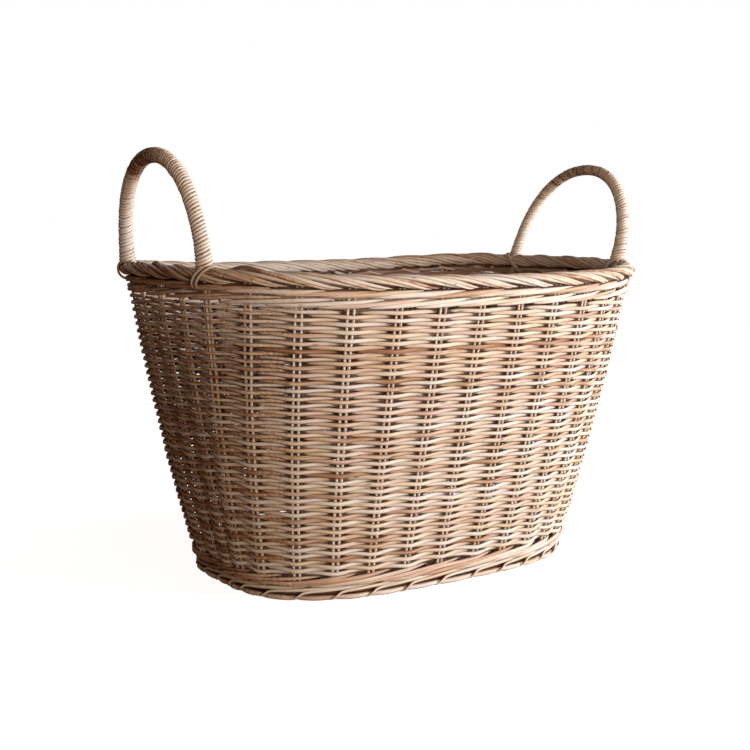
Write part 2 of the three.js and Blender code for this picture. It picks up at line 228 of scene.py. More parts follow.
# Canes are laid in mesh code, ring by ring, because a strand thins, flattens and slips behind the
# stakes all the way. Each vertex keeps where it is in its cane, for the grain. front goes from 1,
# where the outer side shows, to -1, where the inner side does, or with bothSides neither.
def cane(line, facing, halfDepth, halfHeight, sides, tone, front=0.6, bothSides=True):
    def column(value):
        return np.broadcast_to(value, len(line))[:, None]

    ahead = unit(np.gradient(line, axis=0))
    across = unit(np.cross(ahead, np.broadcast_to(facing, line.shape)))
    out = np.cross(across, ahead)
    turn = (np.arange(sides) + 0.5) / sides * fullTurn
    depth = signedPower(np.cos(turn), caneShape["squareness"]) * column(halfDepth)
    level = signedPower(np.sin(turn), caneShape["squareness"]) * column(halfHeight)
    points = line[:, None] + out[:, None] * depth[..., None] + across[:, None] * level[..., None]
    fibre = np.stack([np.broadcast_to(column(lengthsOf(line)), depth.shape), depth, level], axis=-1)
    # Painted shade, with some dirt, goes into the crevice value: the edges where one cane meets the
    # next darken, and so does a cane where it is hidden behind the stakes
    side = signedPower(np.cos(turn), 0.5)
    shown = column(front) * (np.abs(side) if bothSides else side)
    edge = np.abs(np.sin(turn))
    shadeAndDirt = edge ** caneShape["edgePower"] * caneShape["edgeShadeAndDirt"] * (1 - 0.5 * shown)
    hidden = np.clip((-shown - caneShape["deepFrom"]) / (1 - caneShape["deepFrom"]), 0, 1)
    deep = eased((edge - 1 + 1.5 * hidden) / caneShape["deepWidth"])
    shade = eased((caneShape["shadeFrom"] - shown) / caneShape["shadeWidth"])
    crevice = np.clip(shadeAndDirt + deep + caneShape["recessShade"] * shade, 0, 1)
    return strandOf(points, fibre, crevice, column(tone))


# Each input gets a value or another node's output
def feed(node, inputs):
    for key, value in inputs.items():
        if isinstance(value, bpy.types.NodeSocket):
            node.id_data.links.new(value, node.inputs[key])
        else:
            node.inputs[key].default_value = value
    return node


def addObject(name, data):
    thing = bpy.data.objects.new(name, data)
    bpy.context.scene.collection.objects.link(thing)
    return thing


# One piece of the object from its canes
def layPiece(name, canes, slot, *nodes):
    points, faces, smooth, offset = [], [], [], 0
    for strand in canes:
        points.append(strand["points"])
        faces.extend((strand["quads"] + offset).tolist())
        smooth.extend([True] * len(strand["quads"]))
        faces.extend([[i + offset for i in end] for end in strand["ends"]])
        smooth.extend([False] * len(strand["ends"]))
        offset += len(strand["points"])
    mesh = bpy.data.meshes.new(name)
    mesh.from_pydata(np.concatenate(points).tolist(), [], faces)
    mesh.polygons.foreach_set("use_smooth", smooth)
    for layer in ("fibre", "crevice", "tone"):
        values = np.concatenate([strand[layer] for strand in canes]).astype(np.float32)
        kind, field = ("FLOAT", "value") if values.ndim == 1 else ("FLOAT_VECTOR", "vector")
        mesh.attributes.new(layer, kind, "POINT").data.foreach_set(field, values.ravel())
    mesh.update()
    mesh.materials.append(materials[slot])
    piece = addObject(name, mesh)
    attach(piece, "root")
    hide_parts(*nodes)


# The grain that all canes share: how fine each layer is along and across a cane, and what it does
grain = {
    "mottling": (14, 120),
    "fibres": (60, 2600),
    "streaks": (22, 700),
    "tint": (6, 45),
    "knots": (11, 160),
    "toneSeed": 91.7,
    "mottlingShift": 0.16,
    "streakShift": 0.16,
    "toMiddle": (0.12, 0.55),  # the tones from pale to middling
    "toDark": (0.55, 0.98),
    "fibreShift": 0.22,
    "hue": (0.486, 0.514),
    "saturation": (0.94, 1.12),
    "knotSize": (0.05, 0.16),
    "knotColor": (0.10, 0.045, 0.022, 1),
    "roughness": (0.50, 0.70),
    "shadeAndDirtRoughness": 0.25,
    "fibreHeight": 0.6,
    "streakHeight": 0.8,
    "knotHeight": 1.5,
    "bumpDistance": 0.0004,
}
# what each kind of cane gives it
colorInputs = ("Pale", "Middle", "Dark", "Crevice")
shareInputs = ("ShadeAndDirt", "Fibres", "Knots")


# The surface of all canes: tones from strand to strand, long fibres, mottling, knots, and painted
# shade, with some dirt, where one cane lies against the next
def makeCaneSurface():
    group = bpy.data.node_groups.new("caneSurface", "ShaderNodeTree")
    for side, kind, names in (
        ("INPUT", "NodeSocketColor", colorInputs),
        ("INPUT", "NodeSocketFloat", shareInputs),
        ("OUTPUT", "NodeSocketColor", ["Color"]),
        ("OUTPUT", "NodeSocketFloat", ["Roughness", "Height"]),
    ):
        for name in names:
            group.interface.new_socket(name=name, in_out=side, socket_type=kind)
    nodes = group.nodes
    given, made = nodes.new("NodeGroupInput").outputs, nodes.new("NodeGroupOutput")

    def attribute(name, output="Fac"):
        node = nodes.new("ShaderNodeAttribute")
        node.attribute_name = name
        return node.outputs[output]

    def maths(operation, first, second, clamp=False):
        node = nodes.new("ShaderNodeMath")
        node.operation, node.use_clamp = operation, clamp
        return feed(node, {0: first, 1: second}).outputs[0]

    def stretched(layer):
        along, across = grain[layer]
        node = nodes.new("ShaderNodeVectorMath")
        node.operation = "MULTIPLY_ADD"
        return feed(node, {0: fibre, 1: (along, across, across), 2: seed}).outputs[0]

    def noise(layer, detail, rough=0.5):
        inputs = {"Vector": stretched(layer), "Scale": 1, "Detail": detail, "Roughness": rough}
        return feed(nodes.new("ShaderNodeTexNoise"), inputs).outputs["Fac"]

    def ranged(value, low, high, start=0.0, end=1.0):
        inputs = {0: value, 1: low, 2: high, 3: start, 4: end}
        return feed(nodes.new("ShaderNodeMapRange"), inputs).outputs[0]

    def mixed(share, first, second):
        node = nodes.new("ShaderNodeMix")
        node.data_type = "RGBA"
        return feed(node, {"Factor": share, 6: first, 7: second}).outputs[2]

    fibre, tone, crevice = attribute("fibre", "Vector"), attribute("tone"), attribute("crevice")
    toneSeed = maths("MULTIPLY", tone, grain["toneSeed"])
    seed = feed(nodes.new("ShaderNodeCombineXYZ"), dict.fromkeys(range(3), toneSeed)).outputs[0]
    mottling = noise("mottling", 3, 0.6)
    fibres = noise("fibres", 3, 0.7)
    streaks = noise("streaks", 2)

    # strand tone, shifted by slow mottling and by streaks, picks the colour
    shift = grain["mottlingShift"]
    shade = maths("ADD", tone, ranged(mottling, 0.3, 0.7, -shift, shift))
    shift = grain["streakShift"]
    shade = maths("ADD", shade, ranged(streaks, 0.35, 0.65, -shift, shift), clamp=True)
    body = mixed(ranged(shade, *grain["toMiddle"]), given["Pale"], given["Middle"])
    body = mixed(ranged(shade, *grain["toDark"]), body, given["Dark"])

    # fine fibres, darker and paler, and lengths that are pinkish or straw yellow
    fineShade = maths("MULTIPLY", ranged(fibres, 0.3, 0.7, -1, 1), given["Fibres"])
    tint = noise("tint", 2)
    tinted = feed(nodes.new("ShaderNodeHueSaturation"), {
        "Hue": ranged(tint, 0.32, 0.68, *grain["hue"]),
        "Saturation": ranged(tint, 0.32, 0.68, *grain["saturation"]),
        "Value": maths("ADD", maths("MULTIPLY", fineShade, grain["fibreShift"]), 1.0),
        "Color": body,
    })

    # knots: short dark marks, one every ten centimetres or so
    knotPlace = feed(nodes.new("ShaderNodeTexVoronoi"), {"Vector": stretched("knots"), "Scale": 1})
    knotMask = ranged(knotPlace.outputs["Distance"], *grain["knotSize"], 1, 0)
    knot = maths("MULTIPLY", knotMask, given["Knots"])
    knotted = mixed(knot, tinted.outputs[0], grain["knotColor"])

    # painted shade, with some dirt: the crevice mask, mottled and scaled by each kind's share,
    # mixes in the Crevice colour and roughens the surface
    shadeAndDirtEdge = maths("MULTIPLY", crevice, ranged(mottling, 0.2, 0.8, 0.6, 1.25))
    shadeAndDirt = maths("MULTIPLY", shadeAndDirtEdge, given["ShadeAndDirt"], clamp=True)
    rough = ranged(streaks, 0.3, 0.7, *grain["roughness"])
    fibreHeight = maths("MULTIPLY", fibres, grain["fibreHeight"])
    height = maths("ADD", fibreHeight, maths("MULTIPLY", streaks, grain["streakHeight"]))
    feed(made, {
        "Color": mixed(shadeAndDirt, knotted, given["Crevice"]),
        "Roughness": maths("ADD", rough, maths("MULTIPLY", shadeAndDirt, grain["shadeAndDirtRoughness"]), True),
        "Height": maths("ADD", height, maths("MULTIPLY", knot, grain["knotHeight"])),
    })
    return group


caneSurface = makeCaneSurface()

# Colours of the peeled canes, pale to dark, the Crevice colour of their painted shade and dirt, and
# how much of it and how streaky each kind is
caneLooks = {
    "cane": {
        "Pale": (0.757, 0.668, 0.578), "Middle": (0.735, 0.545, 0.40), "Dark": (0.36, 0.17, 0.09),
        "Crevice": (0.045, 0.014, 0.006), "ShadeAndDirt": 0.95, "Fibres": 0.9, "Knots": 0.75,
        "bump": 0.35, "shine": 0.14,
    },
    "stake_cane": {
        "Pale": (0.80, 0.69, 0.585), "Middle": (0.68, 0.49, 0.37), "Dark": (0.40, 0.22, 0.13),
        "Crevice": (0.10, 0.04, 0.02), "ShadeAndDirt": 0.35, "Fibres": 0.7, "Knots": 0.5,
        "bump": 0.3, "shine": 0.18,
    },
    "wale_cane": {
        "Pale": (0.76, 0.66, 0.56), "Middle": (0.60, 0.38, 0.255), "Dark": (0.27, 0.12, 0.065),
        "Crevice": (0.04, 0.013, 0.006), "ShadeAndDirt": 0.9, "Fibres": 0.9, "Knots": 0.9,
        "bump": 0.4, "shine": 0.14,
    },
    "binding_cane": {
        "Pale": (0.83, 0.73, 0.635), "Middle": (0.72, 0.54, 0.41), "Dark": (0.19, 0.08, 0.036),
        "Crevice": (0.08, 0.026, 0.012), "ShadeAndDirt": 0.95, "Fibres": 0.6, "Knots": 0.2,
        "bump": 0.25, "shine": 0.22,
    },
}


def makeCaneMaterial(name, look):
    material = bpy.data.materials.new(name)
    material.use_nodes = True
    nodes = material.node_tree.nodes
    surface = nodes.new("ShaderNodeGroup")
    surface.node_tree = caneSurface
    feed(surface, {key: (*look[key], 1) for key in colorInputs})
    feed(surface, {key: look[key] for key in shareInputs})
    bump = feed(nodes.new("ShaderNodeBump"), {
        "Strength": look["bump"],
        "Distance": grain["bumpDistance"],
        "Height": surface.outputs["Height"],
    })
    feed(nodes["Principled BSDF"], {
        "Base Color": surface.outputs["Color"],
        "Roughness": surface.outputs["Roughness"],
        "Normal": bump.outputs["Normal"],
        "Specular IOR Level": look["shine"],
    })
    return material


materials = {name: makeCaneMaterial(name, look) for name, look in caneLooks.items()}
print("basket: cane materials made")

# Pair by pair: the left end is browner than the rest, a painted shade, as it faces away from the
# window, and its canes are thinner, so that light comes through, while the back's are a little
# fuller
leftEndShade, thinness, fullness = np.zeros((3, pairs))
leftEndShade[14:21] = (0.05, 0.12, 0.16, 0.18, 0.16, 0.14, 0.08)
thinness[12:23] = (0.06, 0.12, 0.16, 0.18, 0.20, 0.24, 0.30, 0.34, 0.26, 0.14, 0.04)
fullness[1:12] = 0.09


# A random tone for one cane: mostly middling, now and then a pale or a dark one
def pickTone(random, middle=0.45, spread=0.2):
    return float(np.clip(random.normal(middle, spread), 0.02, 0.98))


def randomDrift(random, place, spread):
    return wander(place, random.normal(0, spread, pairs))


# Stakes: two thin rods to a pair, from the foot to the border, and the tips laid under the border
stakes = {
    "radiusBelow": 0.00145,
    "radiusAbove": 0.00125,
    "gap": 0.0032,
    "tailRadius": 0.0018,
    "tailRoom": 0.00035,  # between a stake and the tail of a bow
    "bottom": 0.0128,
    "top": 0.3120,
    "steps": 40,
    "sides": 7,
    "sway": 0.00875,  # in pairs
    "swayRate": 60,
    "laidHeights": (0.3048, 0.3010, 0.2972),
    "laidInward": 0.0026,
    "laidRadius": 0.0018,
    "laidUnevenness": 0.0005,
    "browner": 2.2,  # how much more painted shade, as a browner tone, than the weavers at the left end
}


# From the middle of a pair to each of its stakes
def stakeStep(pair):
    if pair % pairs in bowPairs.values():
        return stakes["radiusAbove"] + stakes["tailRadius"] + stakes["tailRoom"]
    return stakes["radiusAbove"] + stakes["gap"] / 2


def stakeRod(pair, side, random):
    height = np.linspace(stakes["bottom"], stakes["top"], stakes["steps"])
    step = side * stakeStep(pair) / pairSpacing(pair, height)
    sway = stakes["sway"] * np.sin(height * stakes["swayRate"] + random.uniform(0, 6))
    line, facing = onWall(pair + step + sway, height)
    radius = np.linspace(stakes["radiusBelow"], stakes["radiusAbove"], len(height))
    radius = radius * random.uniform(0.9, 1.1)
    # painted shade: the stakes are browner at the left end
    tone = pickTone(random, 0.34, 0.16) + stakes["browner"] * leftEndShade[pair % pairs]
    return cane(line, facing, radius, radius, stakes["sides"], tone)


stakeSets = {
    "back_stakes": ("right_back", "left_back"),
    "left_end_stakes": ("left_back", "left_front"),
    "front_stakes": ("left_front", "right_front"),
    "right_end_stakes": ("right_front", "right_back"),
}
for number, (node, (fromBow, toBow)) in enumerate(stakeSets.items()):
    random = seeded(100 + number)
    first, last = bowPairs[fromBow], bowPairs[toBow]
    if last < first:
        last += pairs
    rods = []
    for pair in range(first, last + 1):
        if pair > first:
            rods.append(stakeRod(pair, -1, random))
        if pair < last:
            rods.append(stakeRod(pair, 1, random))
    for height in stakes["laidHeights"]:
        place = placesFrom(first, last)
        drift = randomDrift(random, place, stakes["laidUnevenness"])
        line, facing = onWall(place, height + drift, drift - stakes["laidInward"])
        # the laid tips get a dark tone and painted shade all round (front -1), for the shade under
        # the border
        radius, tone = stakes["laidRadius"], pickTone(random, 0.8)
        rods.append(cane(line, facing, radius, radius, stakes["sides"], tone, -1.0))
    layPiece(node.replace("stakes", "stake_rods"), rods, "stake_cane", node)
print("basket: stakes stand")

# Side weave: single weavers, each in front of one pair and behind the next
weave = {
    "bottom": 0.0270,
    "top": 0.2900,
    "bands": 18,
    "rowsInBand": 4,
    "halfHeight": 0.00212,
    "halfDepth": 0.00146,
    "buttSize": 1.07,  # a weaver is thicker at its butt, and thinner by taper at its tip
    "taper": 0.15,
    "buttTone": 0.10,
    "reach": 0.00305,  # from the middle of the wall to the middle of a weaver
    "stepsPerPair": 10,
    "sides": 10,
    "overlap": 0.42,  # in pairs, where the next weaver takes over on the inside
    "tailPairs": 0.5,  # where a weaver ends it goes inwards, and up or down
    "tailInward": 0.0016,
    "tailShift": 0.0007,
    "unevenness": 0.00022,
    "thinInside": 0.20,  # a weaver is pressed thinner where it passes behind a pair
    "thinFrom": 0.110,  # height from which the left end's weavers are thinner
    "thinOver": 0.12,
    "thinBelow": 0.1,
    "liftInside": 0.0004,
    "swell": 0.0007,  # how far the rows rise and dip together
    "dipBelow": 0.0009,  # how far they are pulled down at each pair, near the foot
    "dipAbove": 0.0004,  # and near the border
}


# How far in front of the stakes a weaver is: 1 in front, -1 behind
def frontness(turn):
    return 0.92 * np.cos(turn) + 0.08 * np.cos(3 * turn)


def rowSwell(place, height):
    share = (height - weave["bottom"]) / (weave["top"] - weave["bottom"])
    wave = np.sin(0.55 * place + 9 * share) + 0.6 * np.sin(1.29 * place - 14 * share + 1.2)
    dip = weave["dipBelow"] + (weave["dipAbove"] - weave["dipBelow"]) * share
    ends = np.sin(np.clip(share, 0.02, 0.98) * math.pi) ** 0.5
    return weave["swell"] * wave * ends - dip * np.cos(place * fullTurn)


def weaverRow(row, random):
    rows = weave["bands"] * weave["rowsInBand"]
    pitch = (weave["top"] - weave["bottom"]) / rows
    height = weave["bottom"] + (row + 0.5) * pitch
    thinShare = eased((height - weave["thinFrom"]) / weave["thinOver"])
    thinShare = weave["thinBelow"] + (1 - weave["thinBelow"]) * thinShare
    behind = [pair for pair in range(pairs) if (pair + row) % 2]
    firstJoint = random.integers(0, len(behind))
    jump = random.integers(5, 9)
    joints = sorted({behind[firstJoint], behind[(firstJoint + jump) % len(behind)]})
    lifts = random.normal(0, weave["unevenness"], pairs)
    pushes = random.normal(0, weave["unevenness"] / 2, pairs)
    steps = weave["stepsPerPair"]
    margin = round(weave["overlap"] * steps)
    strands = []
    for start, end in zip(joints, [*joints[1:], joints[0] + pairs]):
        place = np.arange(start * steps - margin, end * steps + margin + 1) / steps
        tail = nearEnds(place, weave["tailPairs"]) ** 2
        which = np.where(place < (start + end) / 2, 1, -1)
        front = frontness((place + row) * math.pi)
        outward = weave["reach"] * front + wander(place, pushes)
        line, facing = onWall(place, height, outward - weave["tailInward"] * tail)
        inside = np.clip(-front, 0, 1)
        lift = wander(place, lifts) + rowSwell(place, height)
        lift += weave["tailShift"] * tail * which
        lift += weave["liftInside"] * inside
        line[:, 2] += lift
        share = np.linspace(0, 1, len(place))
        if random.random() < 0.5:
            share = share[::-1]
        size = random.uniform(0.96, 1.04) * (weave["buttSize"] - weave["taper"] * share)
        tone = pickTone(random) + weave["buttTone"] * (0.5 - share)
        # painted shade: browner at the left end
        tone += wander(place, leftEndShade)
        thinner = wander(place, thinness) * thinShare - wander(place, fullness)
        high = weave["halfHeight"] * size * (1 - weave["thinInside"] * inside - thinner)
        deep = weave["halfDepth"] * size
        strands.append(cane(line, facing, deep, high, weave["sides"], tone, front, False))
    return strands


for band in range(weave["bands"]):
    random = seeded(200 + band)
    weavers = []
    for row in range(band * weave["rowsInBand"], (band + 1) * weave["rowsInBand"]):
        weavers.extend(weaverRow(row, random))
    number = f"{band + 1:02d}"
    layPiece(f"side_weave_{number}_canes", weavers, "cane", f"side_weave_{number}")
print("basket: sides woven")

# Wales: rods that each pass in front of two or three pairs and behind one, rising as they go
wales = {
    "upset_wale": {"middle": 0.0198, "rods": 4, "climb": 0.0056, "halfHeight": 0.00192,
                   "reach": 0.0034, "start": 0, "tone": 0.36, "tuck": 1.0, "unevenness": 0.0006},
    "top_wale_1": {"middle": 0.2966, "rods": 3, "climb": 0.0038, "halfHeight": 0.00205,
                   "reach": 0.0034, "start": 0, "tone": 0.42, "tuck": 0.8, "unevenness": 0.0004},
    "top_wale_2": {"middle": 0.3053, "rods": 3, "climb": 0.0026, "halfHeight": 0.00230,
                   "reach": 0.0036, "start": 1, "tone": 0.38, "tuck": 0.8, "unevenness": 0.0004},
}
waleRod = {
    "halfDepth": 0.0018,
    "stepsPerPair": 8,
    "sides": 10,
    "dropPairs": 0.3,  # how soon a stroke drops back, behind a pair
    "tuckShift": 0.06,
    "tailPairs": 0.6,  # where a rod ends it goes inwards
    "tailInward": 0.0014,
    "taper": (1.05, 0.94),
    "fullSize": 1.14,  # in front of the pairs, and how much thinner it is near the one behind
    "narrower": 0.50,
    "narrowPairs": 1.3,
    "thinner": 0.7,  # the share of the weavers' thinness and of their painted shade, a brown tone, at the left end
    "browner": 1.5,
    "toneSpread": 0.20,
}


def waleCanes(wale, random):
    rods, steps = wale["rods"], waleRod["stepsPerPair"]
    loops = math.gcd(pairs, rods)
    length = pairs * rods // loops
    edge = waleRod["dropPairs"] / rods
    strands = []
    for loop in range(loops):
        start = wale["start"] + loop
        joint = 0
        while joint < length:
            reach = min(int(random.integers(4, 7)) * rods, length - joint)
            place = start + np.arange(joint * steps - 4, (joint + reach) * steps + 5) / steps
            share = (place - start) % rods / rods
            rising = (share - 0.5) / (0.5 - edge)
            ending = np.where(share > 1 - edge, (share - 1) / edge, 0)
            back = np.where(share < edge, share / edge, ending)
            climb = np.where(np.abs(rising) > 1, np.sin(back * math.pi / 2), rising)
            away = (place - start + waleRod["tuckShift"] + rods / 2) % rods - rods / 2
            inward = hump(away, wale["tuck"])
            tail = nearEnds(place, waleRod["tailPairs"]) ** 2
            outward = wale["reach"] * (1 - 2 * inward) - waleRod["tailInward"] * tail
            line, facing = onWall(place, wale["middle"], outward)
            line[:, 2] += wale["climb"] * climb + randomDrift(random, place, wale["unevenness"])
            narrowed = waleRod["narrower"] * hump(away, waleRod["narrowPairs"])
            size = random.uniform(0.93, 1.07) * np.linspace(*waleRod["taper"], len(place))
            size *= waleRod["fullSize"] - narrowed
            size *= 1 - waleRod["thinner"] * wander(place, thinness)
            tone = pickTone(random, wale["tone"], waleRod["toneSpread"])
            # painted shade: browner at the left end
            tone = tone + wander(place, leftEndShade) * waleRod["browner"]
            deep, high = waleRod["halfDepth"] * size, wale["halfHeight"] * size
            # painted shade comes on early where a rod tucks in behind a pair
            front = 1 - 2 * inward ** 0.6
            strands.append(cane(line, facing, deep, high, waleRod["sides"], tone, front, False))
            joint += reach
    return strands


for number, (node, wale) in enumerate(wales.items()):
    random = seeded(300 + number)
    layPiece(f"{node}_canes", waleCanes(wale, random), "wale_cane", node)
print("basket: wales laid")

# Rolled border: rods that wind over the rim side by side and tuck in below it
border = {
    "middle": 0.315,
    "halfWidth": 0.0100,
    "halfHeight": 0.0080,
    "rodRadius": 0.00225,
    "rodsPerPair": 3,
    "proud": (-0.0006, 0.0008, -0.0002),  # each rod of a pair
    "unevenness": 0.0002,
    "spread": 1.04,  # how far apart the rods of a pair lie on top
    "squeeze": 0.52,  # how much closer they lie where they tuck in
    "squeezeTurn": 140,  # and by how many degrees below the top
    "loose": {61: 0.0026, 52: 0.0018},  # rods that stand a little proud of the roll
    "looseTone": 0.45,
    "tuckShare": 0.12,  # of a rod's length, at both ends, where it goes into the roll
    "tuckDepth": 0.0042,
    "pairsPerTurn": 4.0,
    "firstTurn": 245,  # degrees round the roll: 0 is outwards and 90 is up
    "lastTurn": -64,
    "underside": 54,  # degrees below outwards where the rods reach the underside, slanting
    "taper": 0.55,  # the rods thin towards the tip
    "steps": 22,
    "sides": 8,
    # painted shade at the left end, a browner tone, as for the weavers
    "browner": 1.3,
    # what lies inside the roll, in the dark: height, how far outwards, radius
    "filling": ((0.3150, -0.0035, 0.0040), (0.3150, 0.0035, 0.0040),
                (0.3086, 0.0002, 0.0018), (0.3082, -0.0022, 0.0018)),
}


def borderRod(number, random):
    share = np.linspace(0, 1, border["steps"] + 1)
    turn = np.radians(border["firstTurn"] + (border["lastTurn"] - border["firstTurn"]) * share)
    group, inGroup = divmod(number, border["rodsPerPair"])
    lowered = np.clip((math.pi / 2 - turn) / math.radians(border["squeezeTurn"]), 0, 1)
    closeness = border["spread"] - border["squeeze"] * lowered
    start = group + (inGroup - 1) / border["rodsPerPair"] * closeness + random.normal(0, 0.015)
    place = start - (turn - math.pi / 2) / fullTurn * border["pairsPerTurn"]
    radius = border["rodRadius"] * random.uniform(0.92, 1.08)
    fromEnds = np.minimum(share, 1 - share)
    tucked = np.clip(1 - fromEnds / border["tuckShare"], 0, 1) ** 2
    lift = border["loose"].get(number, 0) * np.exp(-((np.degrees(turn) - 95) / 30) ** 2)
    proud = random.normal(0, border["unevenness"]) + border["proud"][inGroup]
    proud = proud - border["tuckDepth"] * tucked + lift
    outward = np.cos(turn) * (border["halfWidth"] - radius + proud)
    line, facing = onWall(place, border["middle"], outward)
    rise = np.where(turn < 0, turn / math.radians(border["underside"]), np.sin(turn))
    line[:, 2] += rise * (border["halfHeight"] - radius + proud)
    size = radius * (1 - border["taper"] * eased((share - 0.68) / 0.32))
    tone = pickTone(random, 0.38, 0.17) + 0.08 * (share - 0.5)
    tone += border["looseTone"] * (number in border["loose"])
    # painted shade: browner at the left end
    tone += wander(place, leftEndShade) * border["browner"]
    return cane(line, turned(facing, turn), size, size, border["sides"], tone)


random = seeded(400)
borderCanes = [borderRod(number, random) for number in range(border["rodsPerPair"] * pairs)]
for height, outward, radius in border["filling"]:
    line, facing = onWall(placesFrom(0, pairs), height, outward)
    # a dark tone and painted shade all round (front -1): the filling is painted as lying in shade
    borderCanes.append(cane(line, facing, radius, radius, border["sides"], 0.8, -1.0))
layPiece("border_rods", borderCanes, "cane", "rolled_border")
print("basket: border rolled")

# Foot border: hoops that the stakes' lower ends are plaited round. Each end comes out under the
# lowest hoop, turns up over it and runs on to the right, rising over the next two pairs.
foot = {
    # outwards, up, radius, tone, and how far it shows; the hoops that hardly show have dark tones
    # and painted shade
    "hoops": (
        (-0.0004, 0.0062, 0.0022, 0.95, -0.8),
        (-0.0022, 0.0090, 0.0029, 0.9, -0.8),
        (-0.0022, 0.0030, 0.0030, 0.9, -0.8),
        (-0.0079, 0.0090, 0.0029, 0.5, 0.6),
        (-0.0079, 0.0030, 0.0030, 0.5, 0.6),
    ),
    "tailPairs": 0.6,  # a hoop's ends are thinner, and lie one above the other
    "tailThinner": 0.25,
    "tailShift": 0.0004,
    # from pair to pair: the lowest length, and the end that turns up
    "lengths": ({
        "place": (-0.22, -0.08, 0.08, 0.28, 0.50, 0.72, 0.90, 1.04, 1.16),
        "outward": (0.0010, 0.0026, 0.0038, 0.0044, 0.0045, 0.0042, 0.0034, 0.0022, 0.0006),
        "up": (0.0030, 0.0029, 0.0028, 0.0027, 0.0026, 0.0027, 0.0029, 0.0031, 0.0033),
        "radius": (0.0012, 0.0017, 0.0022, 0.0025, 0.0026, 0.0025, 0.0022, 0.0017, 0.0012),
        "tone": 0.52,
    }, {
        "place": (-0.26, -0.14, -0.03, 0.06, 0.15, 0.27, 0.60, 1.10, 1.65, 2.10, 2.45),
        "outward": (-0.0010, 0.0034, 0.0060, 0.0070, 0.0066, 0.0056, 0.0050, 0.0048, 0.0046,
                    0.0034, 0.0004),
        "up": (0.0012, 0.0010, 0.0018, 0.0040, 0.0068, 0.0088, 0.0098, 0.0110, 0.0128, 0.0142,
               0.0152),
        "radius": (0.0010, 0.0010, 0.0011, 0.0011, 0.0012, 0.0015, 0.0019, 0.0020, 0.0018, 0.0015,
                   0.0012),
        "tone": 0.34,
    }),
    "steps": 26,
    "unevenness": 0.0003,
    "clear": 0.0001,  # least distance from the floor
}
random = seeded(500)
footCanes = []
for outward, height, radius, tone, front in foot["hoops"]:
    start = random.integers(5, 12)
    place = start + np.arange(-2, pairs * 6 + 3) / 6
    drift = randomDrift(random, place, foot["unevenness"])
    tail = nearEnds(place, foot["tailPairs"])
    line, facing = onWall(place, 0.0, outward + drift)
    size = radius * (1 - foot["tailThinner"] * tail)
    shift = np.where(place < start + pairs / 2, foot["tailShift"], -foot["tailShift"])
    line[:, 2] = np.maximum(height + shift * tail + drift / 2, size + foot["clear"])
    tone += random.normal(0, 0.05)
    footCanes.append(cane(line, facing, size, size, 10, tone, front))


# A smooth line through a strand's marked values
def throughMarks(values, share):
    marks = np.linspace(0, 1, len(values))
    spread = 0.5 / (len(values) - 1)
    return sum(np.interp(share + shift, marks, values) for shift in (0, -spread, spread)) / 3


def footStrand(pair, marks, random):
    share = np.linspace(0, 1, foot["steps"])
    place, outward, up, radius = (
        throughMarks(marks[key], share) for key in ("place", "outward", "up", "radius")
    )
    place = pair + place * random.uniform(0.94, 1.06) + random.normal(0, 0.03)
    line, facing = onWall(place, 0.0, outward + random.normal(0, foot["unevenness"]))
    height = up + random.normal(0, foot["unevenness"]) * share
    size = radius * random.uniform(0.94, 1.06)
    line[:, 2] = np.maximum(height, size + foot["clear"])
    # its tone takes the painted shade of the left end, browner there
    tone = pickTone(random, marks["tone"], 0.14) + wander(place, leftEndShade)
    return cane(line, facing, size, size, 8, tone)


for pair in range(pairs):
    footCanes.extend([footStrand(pair, marks, random) for marks in foot["lengths"]])
layPiece("foot_border_canes", footCanes, "cane", "foot_ring")
print("basket: foot bordered")

# Base panel: a spine of three sticks, spokes to the foot, and rounds woven over and under them
base = {
    "spokes": 18,
    "height": 0.0070,
    "stickRadius": 0.0020,
    "stickSteps": 9,
    "spineLength": 0.160,
    "spineSpacing": 0.006,
    "seatInward": 0.01135,
    "weaveStart": 0.2,
    "nodes": 6,
    "roundsInNode": 5,
    "innerRounds": 4,  # between the spine and the first of the six bands
    "halfDepth": 0.0011,
    "closeness": 1.04,  # the rounds touch
    "reach": 0.0027,
    # the binding that holds the spokes to the spine, in a few places
    "bindings": 9,
    "bindingFrom": 0.072,
    "bindingTurns": 3,
    "bindingPitch": 0.0022,
    "bindingOut": 0.0009,
    "bindingUp": 0.0008,
    "bindingHalves": (0.0007, 0.0010),
}
spokePlaces = 2 * base["spokes"]  # the spokes lie at the even ones


def spokePoint(spoke, share):
    angle = angleAt(np.asarray(spoke, float) * pairs / spokePlaces)
    seat = wallPoint(angle, 0.0) - wallNormal(angle, 0.0) * base["seatInward"]
    half = base["spineLength"] / 2
    startX = middleX + np.clip((seat[..., 0] - middleX) / 2, -half, half)
    start = np.stack([startX, 0 * startX, 0 * startX], axis=-1)
    point = start + (seat - start) * np.asarray(share)[..., None]
    point[..., 2] = base["height"]
    return point


def baseWeaver(number, random):
    step = (1 - base["weaveStart"]) / (base["nodes"] * base["roundsInNode"])
    spoke = np.arange(-1, spokePlaces * 4 + 2) / 4
    share = base["weaveStart"] + (number + 0.5) * step + 0 * spoke
    line = spokePoint(spoke, share)
    inner, outer = spokePoint(spoke, share - step / 2), spokePoint(spoke, share + step / 2)
    halfWide = np.linalg.norm(outer - inner, axis=1) / 2 * base["closeness"]
    line[:, 2] += base["reach"] * np.cos((spoke / 2 + number) * math.pi)
    return cane(line, upward, base["halfDepth"], halfWide, 8, pickTone(random, 0.45, 0.14))


for node in range(base["nodes"]):
    random = seeded(600 + node)
    first = node * base["roundsInNode"]
    rounds = [baseWeaver(first + i, random) for i in range(base["roundsInNode"])]
    layPiece(f"base_weave_{node + 1}", rounds, "cane", f"base_round_{node + 1}")

